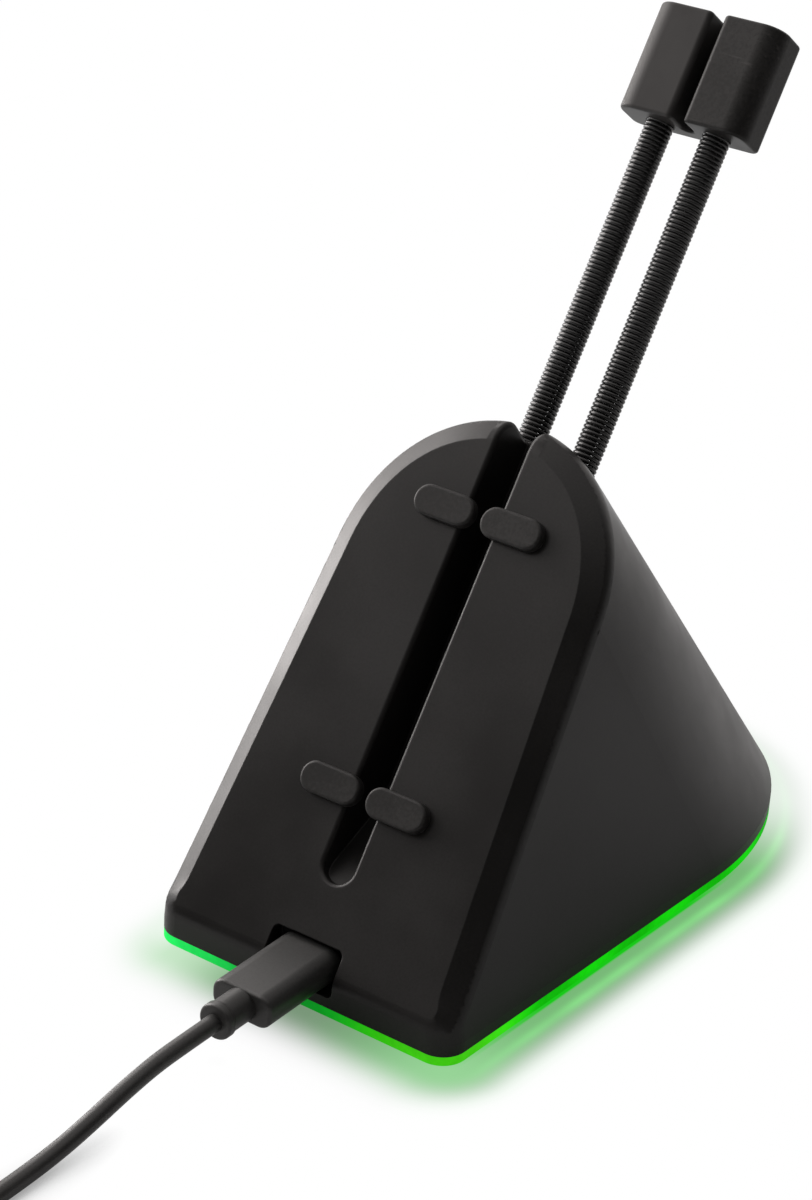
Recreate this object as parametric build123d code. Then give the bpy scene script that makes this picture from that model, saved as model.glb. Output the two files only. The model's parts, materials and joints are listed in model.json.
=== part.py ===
"""A lit desk stand that holds a mouse cable on two sprung arms, with its USB lead.

Frame: millimetres, +Z up, origin on the desk at the middle of the base's box. The sloped cable face
looks towards -Y and the arms lean towards +Y. The stand is symmetric about X = 0.
"""
import os
from math import acos, atan2, cos, degrees, hypot, pi, radians, sin, tan

from build123d import *

# Base outline: straight front, flared sides, half-elliptic back
BASE_DEPTH = 130.5
FRONT_WIDTH = 63.0
BACK_WIDTH = 70.8
SIDE_LENGTH = 82.8
CORNER_RADIUS = 4.8
INNER_CORNER = 1.2

# Heights from the desk up
PAD_THICKNESS = 0.6
RING_HEIGHT = 1.7
SKIRT_HEIGHT = 2.1
CROWN_HEIGHT = 93.3
TOE_HEIGHT = 7.6

# Section that the walls run up to at the crown height, before the sloped face cuts it
CROWN_WIDTH = 46.2
CROWN_SIDE = 28.7
CROWN_NOSE = 27.6

# Upper shell
FACE_ANGLE = 55.0
FACE_ROUND = 4.2
WALL = 2.2
BOSS_DIAMETER = 7.0

# Cable slot in the sloped face
SLOT_WIDTH = 6.2
SLOT_DEPTH = 10.6
SLOT_START = 15.5
SLOT_RAMP = 15.0
SLOT_LIP = 1.3
SLOT_EDGE_ROUND = 0.8
CHANNEL_WALL = 2.0

# Rubber clips that close the slot, in two pairs
CLIP_LENGTH = 12.1
CLIP_WIDTH = 5.6
CLIP_HEIGHT = 1.9
CLIP_GAP = 1.75
CLIP_ROUND = 0.5
CLIP_PLACES = {"lower": 30.9, "upper": 82.1}
STEM_DIAMETER = 4.0
STEM_FROM_END = 3.7
BARB_DIAMETER = 5.4
BARB_HEIGHT = 1.6

# Sprung arms
SPRING_DIAMETER = 5.3
SPRING_WIRE = 0.83
SPRING_SPACING = 11.6
SPRING_DEPTH = 15.9
ARM_REACH = 63.1
SPRING_HOLE_GAP = 0.3
COIL_GROOVE = 0.27

# Anchor block that holds the spring ends inside the shell
ANCHOR_WIDTH = 26.0
ANCHOR_LENGTH = 16.0
ANCHOR_BEHIND = 3.0
ANCHOR_DROP = 11.5
FLANGE_LENGTH = 7.0
FLANGE_THICKNESS = 4.0
ANCHOR_SCREW_SPACING = 19.0
ANCHOR_BOSS_DIAMETER = 6.4
SPRING_GRIP = 14.0

# Cable head on the arms
HEAD_WIDTH = 26.0
HEAD_LENGTH = 20.4
HEAD_FRONT = 9.9
HEAD_DEPTH = 10.1
HEAD_CORNER = 4.0
HEAD_BACK_CORNER = 2.0
HEAD_EDGE = 0.6
HEAD_SLOT_WIDTH = 2.4
HEAD_SLOT_DEPTH = 6.4
HEAD_SLOT_ROUND = 1.0
HEAD_GRIP = 12.0

# Base plate, light ring and weight
BASE_THICKNESS = 2.0
BASE_EDGE = 0.9
RING_WIDTH = 2.2
RING_UPSTAND_WIDTH = 1.95
RING_GAP = 0.15
PAD_INSET = 6.0
WEIGHT_THICKNESS = 7.0
WEIGHT_INSET = 13.0
WEIGHT_FRONT = 38.0
WEIGHT_POST_FRONT = 51.0
WEIGHT_POST_BACK = 105.0
POST_DIAMETER = 6.6

# Light board
LED_BOARD_THICKNESS = 0.8
LED_BOARD_INSET = 5.0
LED_BOARD_WIDTH = 6.0
LED_LENGTH = 3.0
LED_DEPTH = 1.4
LED_HEIGHT = 1.2
LED_SPACING = 24.0

# Port, socket and its board
PORT_WIDTH = 14.8
PORT_FLOOR_HEIGHT = 4.3
PORT_TOP_HEIGHT = 12.1
PORT_DEPTH = 5.2
PORT_WALL = 0.8
PORT_CORNER = 1.2
PLUG_HEIGHT = 8.05
SOCKET_WIDTH = 8.95
SOCKET_THICKNESS = 3.1
SOCKET_LENGTH = 7.35
SOCKET_SHEET = 0.3
TONGUE_WIDTH = 6.6
TONGUE_THICKNESS = 0.7
TONGUE_LENGTH = 4.4
USB_BOARD_WIDTH = 20.0
USB_BOARD_LENGTH = 25.0
USB_BOARD_THICKNESS = 1.2
CHIP_SIZE = 7.0
CHIP_THICKNESS = 0.9
CHIP_FROM_FRONT = 22.2
STANDOFF_DIAMETER = 5.0
STANDOFF_SPACING = 14.0
STANDOFF_FROM_FRONT = 28.2

# Screws: shank diameter, head diameter, head height, then lengths; recess and edge as shares of the head
CASE_SCREW = (2.8, 5.4, 1.1)
BOARD_SCREW = (1.8, 3.6, 1.2)
WEIGHT_SCREW = (2.8, 10.0, 1.8)
ANCHOR_SCREW = (2.3, 4.6, 1.6)
CASE_SCREW_LENGTH = 10.0
BOARD_SCREW_LENGTH = 4.0
WEIGHT_SCREW_LENGTH = 5.6
ANCHOR_SCREW_LENGTH = 9.5
CASE_SCREW_SPACING = 34.0
CASE_SCREW_FRONT = 17.0
CASE_SCREW_BACK = 99.0
HEAD_SINK = 0.1
DRIVE_DEPTH = 0.7
DRIVE_LONG = 0.55
DRIVE_WIDE = 0.13
HEAD_ROUND = 0.33

# Lead: plug in the port, cord, coil of its spare length, far plug
PLUG_WIDTH = 12.3
PLUG_THICKNESS = 6.2
PLUG_OUT = 15.2
PLUG_IN = 4.5
PLUG_CORNER = 2.6
PLUG_EDGE = 0.6
PLUG_SHELL_SHEET = 0.3
PLUG_SHELL_LENGTH = 6.6
RELIEF_DIAMETER = 6.6
RELIEF_LENGTH = 6.9
RELIEF_RIM = 1.6
RELIEF_WAIST = 0.25
CORD_DIAMETER = 3.2
COIL_MEAN_RADIUS = 19.0
COIL_COLUMNS = 5
COIL_LAYERS = 2
COIL_CENTRE = (-27.4, -158.0)
RUN_STOP = 11.0
TIE_WIDTH = 8.0
TIE_THICKNESS = 0.8
TIE_SLACK = 0.5
TIE_ANGLE = -60.0
TAIL_LENGTH = 19.0
TAIL_LEAD = 5.5
TAIL_SHIFT = 2.0
FAR_RELIEF_LENGTH = 7.0
FAR_RELIEF_ENDS = (4.2, 5.2)
FAR_PLUG_WIDTH = 15.4
FAR_PLUG_THICKNESS = 7.6
FAR_PLUG_LENGTH = 20.0
FAR_PLUG_CORNER = 2.4
FAR_PLUG_EDGE = 1.0
FAR_SHELL_WIDTH = 12.0
FAR_SHELL_THICKNESS = 4.5
FAR_SHELL_LENGTH = 18.0
FAR_SHELL_SHEET = 0.35
FAR_TONGUE_THICKNESS = 1.9
FAR_WINDOW_WIDTH = 2.2
FAR_WINDOW_LENGTH = 2.4
FAR_WINDOW_SPACING = 5.2
FAR_WINDOW_PLACE = 7.0
FAR_CONTACT_COUNT = 4
FAR_CONTACT_SPACING = 2.3
FAR_CONTACT_WIDTH = 1.0
FAR_CONTACT_LENGTH = 8.9
FAR_CONTACT_THICKNESS = 0.15

# Fits, and the shares of a rounded end and of a cord's run that the rounding takes
RUNNING_GAP = 0.03
SEAT_GAP = 0.1
HOLE_GAP = 0.5
ROUND_SHARE = 0.98
ARC_SHARE = 0.45
BIG = 400.0

# Places that follow from the sizes
FRONT_Y = -BASE_DEPTH / 2
MIDDLE_Y = FRONT_Y + SIDE_LENGTH
NOSE_LENGTH = BASE_DEPTH - SIDE_LENGTH
BASE_TOP = PAD_THICKNESS + BASE_THICKNESS
RIM_Z = PAD_THICKNESS + RING_HEIGHT
CREASE_Z = RIM_Z + SKIRT_HEIGHT
RING_LIP_Z = PAD_THICKNESS + BASE_EDGE
SEAT_DEPTH = SLOT_DEPTH + CHANNEL_WALL
FACE_COS = cos(radians(FACE_ANGLE))
FACE_SIN = sin(radians(FACE_ANGLE))
BACK_RUN = (BASE_DEPTH - CROWN_SIDE - CROWN_NOSE) / (CROWN_HEIGHT - CREASE_Z)

# Sloped face: local x across, y up the slope, z out of the face
FACE = Plane(origin=(0, FRONT_Y, TOE_HEIGHT), x_dir=(1, 0, 0), z_dir=(0, -FACE_SIN, FACE_COS))
# The same slope with z along the arms: local y is the depth behind the face
ARM = Plane(origin=(0, FRONT_Y, TOE_HEIGHT), x_dir=(1, 0, 0), z_dir=(0, FACE_COS, FACE_SIN))


def up_slope_at_back(depth):
    """How far up the slope the back wall lies, at a depth behind the sloped face."""
    rise = BASE_DEPTH - BACK_RUN * (TOE_HEIGHT - CREASE_Z) - depth * (FACE_SIN - BACK_RUN * FACE_COS)
    return rise / (FACE_COS + BACK_RUN * FACE_SIN)


SPRING_EXIT = up_slope_at_back(SPRING_DEPTH)
HEAD_START = SPRING_EXIT + ARM_REACH
ANCHOR_TOP = SPRING_EXIT - ANCHOR_DROP
ANCHOR_LOW = ANCHOR_TOP - ANCHOR_LENGTH
ANCHOR_BACK = SPRING_DEPTH + SPRING_DIAMETER / 2 + ANCHOR_BEHIND
SPRING_START = ANCHOR_TOP - SPRING_GRIP
SPRING_END = HEAD_START + HEAD_GRIP

# Where a side meets the half ellipse without a corner, as the ellipse's own angle
RATIO_X = FRONT_WIDTH / BACK_WIDTH
RATIO_Y = SIDE_LENGTH / NOSE_LENGTH
SIDE_TURN = atan2(RATIO_Y, RATIO_X) - acos(1 / hypot(RATIO_X, RATIO_Y))


def section(half_wide, front, middle, nose, corner):
    """A flat front, two tangent sides and a half-elliptic back."""
    half_front = half_wide / cos(SIDE_TURN) * (1 - (middle - front) / nose * sin(SIDE_TURN))
    nose_arc = EllipticalCenterArc((0, middle), half_wide, nose, start_angle=-degrees(SIDE_TURN),
                                   arc_size=degrees(pi + 2 * SIDE_TURN))
    front_corners = [(-half_front, front), (half_front, front)]
    sides = Polyline(nose_arc @ 1, *front_corners, nose_arc @ 0)
    flat = make_face([nose_arc, *sides.edges()])
    return fillet(flat.vertices().sort_by(Axis.Y)[:2], corner)


def outline(inset=0.0):
    """The base outline, brought in all round."""
    return section(BACK_WIDTH / 2 - inset, FRONT_Y + inset, MIDDLE_Y, NOSE_LENGTH - inset,
                   max(CORNER_RADIUS - inset, INNER_CORNER))


def crown(inset=0.0):
    """The section at the crown height, brought in all round."""
    return section(CROWN_WIDTH / 2 - inset, FRONT_Y + inset, FRONT_Y + CROWN_SIDE + inset,
                   CROWN_NOSE - 2 * inset, INNER_CORNER)


def slab(flat, low, high):
    """A flat shape in plan, from one height to another."""
    return extrude(Pos(0, 0, low) * flat, high - low)


def along_y(flat, near, far):
    """A flat shape drawn in x and z, from one y to another."""
    return extrude(Plane((0, far, 0), x_dir=(1, 0, 0), z_dir=(0, -1, 0)) * flat, far - near)


def wedge(inset=0.0):
    """The tapered body below the sloped face, brought in all round."""
    skirt = slab(outline(inset), RIM_Z, CREASE_Z)
    walls = loft([Pos(0, 0, CREASE_Z) * outline(inset), Pos(0, 0, CROWN_HEIGHT) * crown(inset)], ruled=True)
    above_face = FACE * Pos(0, 0, BIG / 2 - inset) * Box(BIG, BIG, BIG)
    return skirt + walls - above_face


def on_face(edge):
    """True for an edge that lies in the sloped face."""
    return all(abs(FACE.to_local_coords(edge @ t).Z) < RUNNING_GAP / 10 for t in (0, 0.5, 1))


def screw(size, length):
    """A pan-head screw with a cross recess: head up from z = 0, shank down."""
    shank, head, height = size
    blank = Pos(0, 0, height / 2) * Cylinder(head / 2, height)
    blank = fillet(blank.edges().sort_by(Axis.Z)[-1:], height * HEAD_ROUND)
    blank += Pos(0, 0, -length / 2) * Cylinder(shank / 2, length)
    for turn in (0, 90):
        cross = Box(head * DRIVE_LONG, head * DRIVE_WIDE, 2 * DRIVE_DEPTH)
        blank -= Pos(0, 0, height) * Rot(0, 0, turn) * cross
    return blank


def rod(x, depth, radius, low, high):
    """A round bar along the arms, at a depth behind the face."""
    return ARM * Pos(x, depth, (low + high) / 2) * Cylinder(radius, high - low)


# Slot cut: rounded lower end in plan, ramp up to a low lip in profile
slot_end = SLOT_START + SLOT_WIDTH / 2
slot_plan = Pos(0, slot_end) * Circle(SLOT_WIDTH / 2)
slot_plan += Pos(0, slot_end + BIG / 2) * Rectangle(SLOT_WIDTH, BIG)
slot_plan = extrude(FACE * Pos(0, 0, -SLOT_DEPTH) * slot_plan, SLOT_DEPTH + BIG)
slot_profile = Polyline((0, BIG), (0, -SLOT_LIP), (-SLOT_START, -SLOT_LIP),
                        (-SLOT_START - SLOT_RAMP, -SLOT_DEPTH), (-BIG, -SLOT_DEPTH), (-BIG, BIG), close=True)
PROFILE = Plane(origin=FACE.origin, x_dir=-FACE.y_dir, z_dir=(-1, 0, 0))
slot_profile = extrude(PROFILE * make_face(slot_profile.edges()), SLOT_WIDTH, both=True)
slot_cut = slot_plan & slot_profile

# Port: an open pocket in the toe, with the socket's opening in its floor
port_middle = (PORT_FLOOR_HEIGHT + PORT_TOP_HEIGHT) / 2
port_height = PORT_TOP_HEIGHT - PORT_FLOOR_HEIGHT
port_face = Pos(0, port_middle) * RectangleRounded(PORT_WIDTH, port_height, PORT_CORNER)
port_wrap = Pos(0, port_middle) * Rectangle(PORT_WIDTH + 2 * PORT_WALL, port_height + 2 * PORT_WALL)
port_cut = along_y(port_face, FRONT_Y - BIG, FRONT_Y + PORT_DEPTH)
port_body = along_y(port_wrap, FRONT_Y, FRONT_Y + PORT_DEPTH + PORT_WALL)
socket_hole = Pos(0, PLUG_HEIGHT) * RectangleRounded(
    SOCKET_WIDTH + 2 * SEAT_GAP, SOCKET_THICKNESS + 2 * SEAT_GAP, SOCKET_THICKNESS / 2)
socket_hole = along_y(socket_hole, FRONT_Y, FRONT_Y + PORT_DEPTH + 2 * PORT_WALL)

# Places of screws, clips and springs
case_places = [(x, FRONT_Y + y) for y in (CASE_SCREW_FRONT, CASE_SCREW_BACK)
               for x in (-CASE_SCREW_SPACING / 2, CASE_SCREW_SPACING / 2)]
board_places = [(x, FRONT_Y + STANDOFF_FROM_FRONT) for x in (-STANDOFF_SPACING / 2, STANDOFF_SPACING / 2)]
post_places = [(0, FRONT_Y + y) for y in (WEIGHT_POST_FRONT, WEIGHT_POST_BACK)]
anchor_screw_up = ANCHOR_LOW - FLANGE_LENGTH / 2
anchor_places = [(x, anchor_screw_up) for x in (-ANCHOR_SCREW_SPACING / 2, ANCHOR_SCREW_SPACING / 2)]
spring_places = {"left": -SPRING_SPACING / 2, "right": SPRING_SPACING / 2}
clip_middle = (CLIP_GAP + CLIP_LENGTH) / 2
stem_x = (CLIP_GAP / 2 + CLIP_LENGTH) - STEM_FROM_END

# Upper shell
body = wedge()
body = fillet(body.edges().filter_by(on_face), FACE_ROUND)
cavity = wedge(WALL)
cavity -= FACE * Pos(0, BIG / 2 + SLOT_START - CHANNEL_WALL, -SEAT_DEPTH / 2) * Box(
    SLOT_WIDTH + 2 * CHANNEL_WALL, BIG, SEAT_DEPTH)
cavity -= port_body
for x, y in case_places:
    cavity -= Pos(x, y, BASE_TOP + BIG / 2) * Cylinder(BOSS_DIAMETER / 2, BIG)
for x, up in anchor_places:
    cavity -= FACE * Pos(x, up, -SEAT_DEPTH / 2) * Cylinder(ANCHOR_BOSS_DIAMETER / 2, SEAT_DEPTH)
upper_shell = body - cavity - slot_cut - port_cut - socket_hole
for x, y in case_places:
    pilot = CASE_SCREW[0] / 2 + RUNNING_GAP
    upper_shell -= Pos(x, y, BASE_TOP) * Cylinder(pilot, 2 * CASE_SCREW_LENGTH)
for x, up in anchor_places:
    pilot = ANCHOR_SCREW[0] / 2 + RUNNING_GAP
    upper_shell -= FACE * Pos(x, up, -SEAT_DEPTH) * Cylinder(pilot, 2 * (SEAT_DEPTH - WALL - HOLE_GAP))
for up in CLIP_PLACES.values():
    for x in (-stem_x, stem_x):
        upper_shell -= FACE * Pos(x, up, 0) * Cylinder(STEM_DIAMETER / 2 + RUNNING_GAP, 4 * WALL)
for x in spring_places.values():
    upper_shell -= rod(x, SPRING_DEPTH, SPRING_DIAMETER / 2 + SPRING_HOLE_GAP, ANCHOR_TOP, HEAD_START)


def on_slot_edge(edge):
    """True for the slot's long edges and its rounded end, in the sloped face."""
    middle = FACE.to_local_coords(edge @ 0.5)
    beside = abs(middle.X) < SLOT_WIDTH / 2 + RUNNING_GAP
    return on_face(edge) and beside and edge.length > SLOT_WIDTH and middle.Y > SLOT_START / 2


slot_edges = upper_shell.edges().filter_by(on_slot_edge)
upper_shell = fillet(slot_edges, SLOT_EDGE_ROUND)

# Light ring: visible band, lip under the shell's rim and upstand in front of the lights
ring_inner = RING_WIDTH + RING_GAP + RING_UPSTAND_WIDTH
light_ring = slab(outline() - outline(RING_WIDTH), PAD_THICKNESS, RING_LIP_Z)
light_ring += slab(outline() - outline(ring_inner), RING_LIP_Z, RIM_Z)
light_ring += slab(outline(RING_WIDTH + RING_GAP) - outline(ring_inner), RIM_Z, CREASE_Z - SEAT_GAP)
port_clear = PORT_WIDTH + 2 * PORT_WALL + 2 * HOLE_GAP
port_under = PORT_FLOOR_HEIGHT - PORT_WALL - SEAT_GAP
light_ring -= Pos(0, FRONT_Y, BIG / 2 + port_under) * Box(port_clear, 4 * ring_inner, BIG)

# Base plate: rebated edge under the ring's lip, standoffs and weight posts
base_plate = slab(outline(RING_WIDTH + SEAT_GAP), PAD_THICKNESS, RING_LIP_Z)
base_plate += slab(outline(ring_inner + SEAT_GAP), RING_LIP_Z, BASE_TOP)
board_low = PLUG_HEIGHT - SOCKET_THICKNESS / 2 - USB_BOARD_THICKNESS
weight_top = BASE_TOP + WEIGHT_THICKNESS
standoff = Cylinder(STANDOFF_DIAMETER / 2, board_low - BASE_TOP)
board_pilot = Cylinder(BOARD_SCREW[0] / 2 + RUNNING_GAP, 2 * BOARD_SCREW_LENGTH)
for x, y in board_places:
    base_plate += Pos(x, y, (BASE_TOP + board_low) / 2) * standoff
    base_plate -= Pos(x, y, board_low) * board_pilot
post_high = WEIGHT_THICKNESS - SEAT_GAP
weight_pilot = Cylinder(WEIGHT_SCREW[0] / 2 + RUNNING_GAP, 2 * (WEIGHT_SCREW_LENGTH + HOLE_GAP))
for x, y in post_places:
    base_plate += Pos(x, y, BASE_TOP + post_high / 2) * Cylinder(POST_DIAMETER / 2, post_high)
    base_plate -= Pos(x, y, weight_top) * weight_pilot
case_seat = PAD_THICKNESS + CASE_SCREW[2] + HEAD_SINK
case_sink = Cylinder(CASE_SCREW[1] / 2 + SEAT_GAP, 2 * (case_seat - PAD_THICKNESS))
for x, y in case_places:
    base_plate -= Pos(x, y, PAD_THICKNESS) * case_sink
    base_plate -= Pos(x, y, BASE_TOP) * Cylinder(CASE_SCREW[0] / 2 + SEAT_GAP, 2 * BASE_THICKNESS)

foot_pad = slab(outline(PAD_INSET), 0, PAD_THICKNESS)

# Steel weight, clear of the back screw bosses and round the posts
base_weight = slab(outline(WEIGHT_INSET), BASE_TOP, weight_top)
base_weight -= Pos(0, FRONT_Y + WEIGHT_FRONT - BIG / 2, 0) * Box(BIG, BIG, BIG)
for x, y in case_places:
    base_weight -= Pos(x, y, 0) * Cylinder(BOSS_DIAMETER / 2 + HOLE_GAP, BIG)
for x, y in post_places:
    base_weight -= Pos(x, y, 0) * Cylinder(POST_DIAMETER / 2 + SEAT_GAP, BIG)

# Light board and its lights, all looking outwards at the ring
led_top = BASE_TOP + LED_BOARD_THICKNESS
led_board = slab(outline(LED_BOARD_INSET) - outline(LED_BOARD_INSET + LED_BOARD_WIDTH), BASE_TOP, led_top)
led_solids = []
for edge in outline(LED_BOARD_INSET + LED_DEPTH / 2 + SEAT_GAP).edges():
    count = round(edge.length / LED_SPACING)
    for number in range(count):
        share = (number + 0.5) / count
        spot, way = edge @ share, edge % share
        led = Pos(0, 0, LED_HEIGHT / 2) * Box(LED_LENGTH, LED_DEPTH, LED_HEIGHT)
        led_solids.append(Pos(spot.X, spot.Y, led_top) * Rot(0, 0, degrees(atan2(way.Y, way.X))) * led)
leds = Compound(led_solids)

# Socket board, socket and controller
board_top = board_low + USB_BOARD_THICKNESS
board_near = FRONT_Y + PORT_DEPTH + PORT_WALL + SEAT_GAP
usb_board = Pos(0, board_near + USB_BOARD_LENGTH / 2, (board_low + board_top) / 2) * Box(
    USB_BOARD_WIDTH, USB_BOARD_LENGTH, USB_BOARD_THICKNESS)
for x, y in board_places:
    usb_board -= Pos(x, y, board_low) * Cylinder(BOARD_SCREW[0] / 2 + SEAT_GAP, BIG)


def tube_face(width, thickness, sheet):
    """A flat-sided tube's section with round ends."""
    outer = RectangleRounded(width, thickness, thickness / 2 * ROUND_SHARE)
    hole = RectangleRounded(width - 2 * sheet, thickness - 2 * sheet, (thickness / 2 - sheet) * ROUND_SHARE)
    return Pos(0, PLUG_HEIGHT) * (outer - hole)


socket_near = FRONT_Y + PORT_DEPTH + SEAT_GAP
socket_far = socket_near + SOCKET_LENGTH
usb_socket = along_y(tube_face(SOCKET_WIDTH, SOCKET_THICKNESS, SOCKET_SHEET), socket_near, socket_far)
socket_inside = socket_far - 2 * SOCKET_SHEET
back_thick = SOCKET_THICKNESS - SOCKET_SHEET
socket_back = Pos(0, PLUG_HEIGHT) * RectangleRounded(
    SOCKET_WIDTH - SOCKET_SHEET, back_thick, back_thick / 2 * ROUND_SHARE)
usb_socket += along_y(socket_back, socket_inside, socket_far)
tongue_face = Pos(0, PLUG_HEIGHT) * Rectangle(TONGUE_WIDTH, TONGUE_THICKNESS)
socket_tongue = along_y(tongue_face, socket_inside - TONGUE_LENGTH, socket_inside)
controller_chip = Pos(0, FRONT_Y + CHIP_FROM_FRONT, board_top + CHIP_THICKNESS / 2) * Box(
    CHIP_SIZE, CHIP_SIZE, CHIP_THICKNESS)

# Screws
case_screws = Compound([Pos(x, y, case_seat) * Rot(180, 0, 0) * screw(CASE_SCREW, CASE_SCREW_LENGTH)
                        for x, y in case_places])
board_screws = Compound([Pos(x, y, board_top) * screw(BOARD_SCREW, BOARD_SCREW_LENGTH)
                         for x, y in board_places])
weight_screws = Compound([Pos(x, y, weight_top) * screw(WEIGHT_SCREW, WEIGHT_SCREW_LENGTH)
                          for x, y in post_places])
anchor_face = SEAT_DEPTH + FLANGE_THICKNESS
anchor_screw = Rot(180, 0, 0) * screw(ANCHOR_SCREW, ANCHOR_SCREW_LENGTH)
anchor_screws = Compound([FACE * Pos(x, up, -anchor_face) * anchor_screw for x, up in anchor_places])

# Spring anchor: a block against the channel's back, with a screwed flange
block_deep = ANCHOR_BACK - SEAT_DEPTH
spring_anchor = ARM * Pos(0, SEAT_DEPTH + block_deep / 2, ANCHOR_LOW + ANCHOR_LENGTH / 2) * Box(
    ANCHOR_WIDTH, block_deep, ANCHOR_LENGTH)
spring_anchor += ARM * Pos(0, SEAT_DEPTH + FLANGE_THICKNESS / 2, ANCHOR_LOW - FLANGE_LENGTH / 2) * Box(
    ANCHOR_WIDTH, FLANGE_THICKNESS, FLANGE_LENGTH)
for x in spring_places.values():
    spring_anchor -= rod(x, SPRING_DEPTH, SPRING_DIAMETER / 2 + RUNNING_GAP, SPRING_START, HEAD_START)
for x, up in anchor_places:
    spring_anchor -= FACE * Pos(x, up, -SEAT_DEPTH) * Cylinder(ANCHOR_SCREW[0] / 2 + SEAT_GAP, BIG)

# Springs: close-wound turns between the anchor and the head, plain where they are gripped
turns = round((HEAD_START - ANCHOR_TOP) / SPRING_WIRE)
pitch = (HEAD_START - ANCHOR_TOP) / turns
spring_radius = SPRING_DIAMETER / 2
spring_bore = spring_radius - SPRING_WIRE
ridges = []
for number in range(turns):
    ridges.append((spring_radius - COIL_GROOVE, ANCHOR_TOP + number * pitch))
    ridges.append((spring_radius, ANCHOR_TOP + (number + 0.5) * pitch))
ridges.append((spring_radius - COIL_GROOVE, HEAD_START))
spring_low = [(spring_bore, SPRING_START), (spring_radius, SPRING_START), (spring_radius, ANCHOR_TOP)]
spring_high = [(spring_radius, HEAD_START), (spring_radius, SPRING_END), (spring_bore, SPRING_END)]
spring_half = make_face(Polyline(*spring_low, *ridges, *spring_high, close=True).edges())
spring_solid = revolve(Plane.XZ * spring_half, Axis.Z)

# Cable head: two lobes joined at the back, bored for the springs
head_back = HEAD_FRONT + HEAD_DEPTH
head_plan = Pos(0, HEAD_FRONT + HEAD_DEPTH / 2) * Rectangle(HEAD_WIDTH, HEAD_DEPTH)
head_plan = fillet(head_plan.vertices().sort_by(Axis.Y)[:2], HEAD_CORNER)
head_plan = fillet(head_plan.vertices().sort_by(Axis.Y)[-2:], HEAD_BACK_CORNER)
head_slot = Pos(0, HEAD_FRONT + HEAD_SLOT_DEPTH / 2) * RectangleRounded(
    HEAD_SLOT_WIDTH, HEAD_SLOT_DEPTH, HEAD_SLOT_WIDTH / 2 * ROUND_SHARE)
head_slot += Pos(0, HEAD_FRONT) * Rectangle(HEAD_SLOT_WIDTH, HEAD_SLOT_DEPTH)
head_plan -= head_slot
slot_corners = head_plan.vertices().filter_by(lambda corner: abs(corner.X) < HEAD_SLOT_WIDTH)
head_plan = fillet(slot_corners.sort_by(Axis.Y)[:2], HEAD_SLOT_ROUND)
cable_head = extrude(ARM * Pos(0, 0, HEAD_START) * head_plan, HEAD_LENGTH)
cable_head = fillet(cable_head.edges().filter_by(Axis((0, 0, 0), ARM.z_dir), reverse=True), HEAD_EDGE)
for x in spring_places.values():
    cable_head -= rod(x, SPRING_DEPTH, spring_radius + RUNNING_GAP, HEAD_START - HEAD_EDGE, SPRING_END)


def clip(side, up):
    """A stadium-shaped rubber tab with a barbed stem through the shell's face."""
    pad = RectangleRounded(CLIP_LENGTH, CLIP_WIDTH, CLIP_WIDTH / 2 * ROUND_SHARE)
    tab = extrude(FACE * Pos(side * clip_middle, up) * pad, CLIP_HEIGHT)
    tab = fillet(tab.faces().sort_by(Axis((0, 0, 0), FACE.z_dir))[-1].edges(), CLIP_ROUND)
    tab += FACE * Pos(side * stem_x, up, -WALL / 2) * Cylinder(STEM_DIAMETER / 2, WALL)
    tab += FACE * Pos(side * stem_x, up, -WALL - BARB_HEIGHT / 2) * Cone(
        STEM_DIAMETER / 2, BARB_DIAMETER / 2, BARB_HEIGHT)
    return tab


# Plug in the port and its strain relief
plug_near, plug_far = FRONT_Y - PLUG_OUT, FRONT_Y + PLUG_IN
plug_overmold = along_y(Pos(0, PLUG_HEIGHT) * RectangleRounded(PLUG_WIDTH, PLUG_THICKNESS, PLUG_CORNER),
                        plug_near, plug_far)
for end in (0, -1):
    plug_overmold = fillet(plug_overmold.faces().sort_by(Axis.Y)[end].edges(), PLUG_EDGE)
plug_shell_wide = SOCKET_WIDTH - 2 * SOCKET_SHEET - 2 * RUNNING_GAP
plug_shell_thick = SOCKET_THICKNESS - 2 * SOCKET_SHEET - 2 * RUNNING_GAP
plug_shell = along_y(tube_face(plug_shell_wide, plug_shell_thick, PLUG_SHELL_SHEET),
                     plug_far, plug_far + PLUG_SHELL_LENGTH)
relief_near = plug_near - RELIEF_LENGTH
relief_radius = RELIEF_DIAMETER / 2
waist_radius = relief_radius - RELIEF_WAIST
relief_line = Polyline((0, 0), (waist_radius, 0), (waist_radius, RELIEF_LENGTH - RELIEF_RIM),
                       (relief_radius, RELIEF_LENGTH - RELIEF_RIM), (relief_radius, RELIEF_LENGTH),
                       (0, RELIEF_LENGTH), close=True)
relief_solid = revolve(Plane.XZ * make_face(relief_line.edges()), Axis.Z)
strain_relief = Pos(0, plug_near, PLUG_HEIGHT) * Rot(90, 0, 0) * relief_solid
strain_relief = fillet(strain_relief.edges().sort_by(Axis.Y)[:1], RELIEF_RIM / 3)

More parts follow.
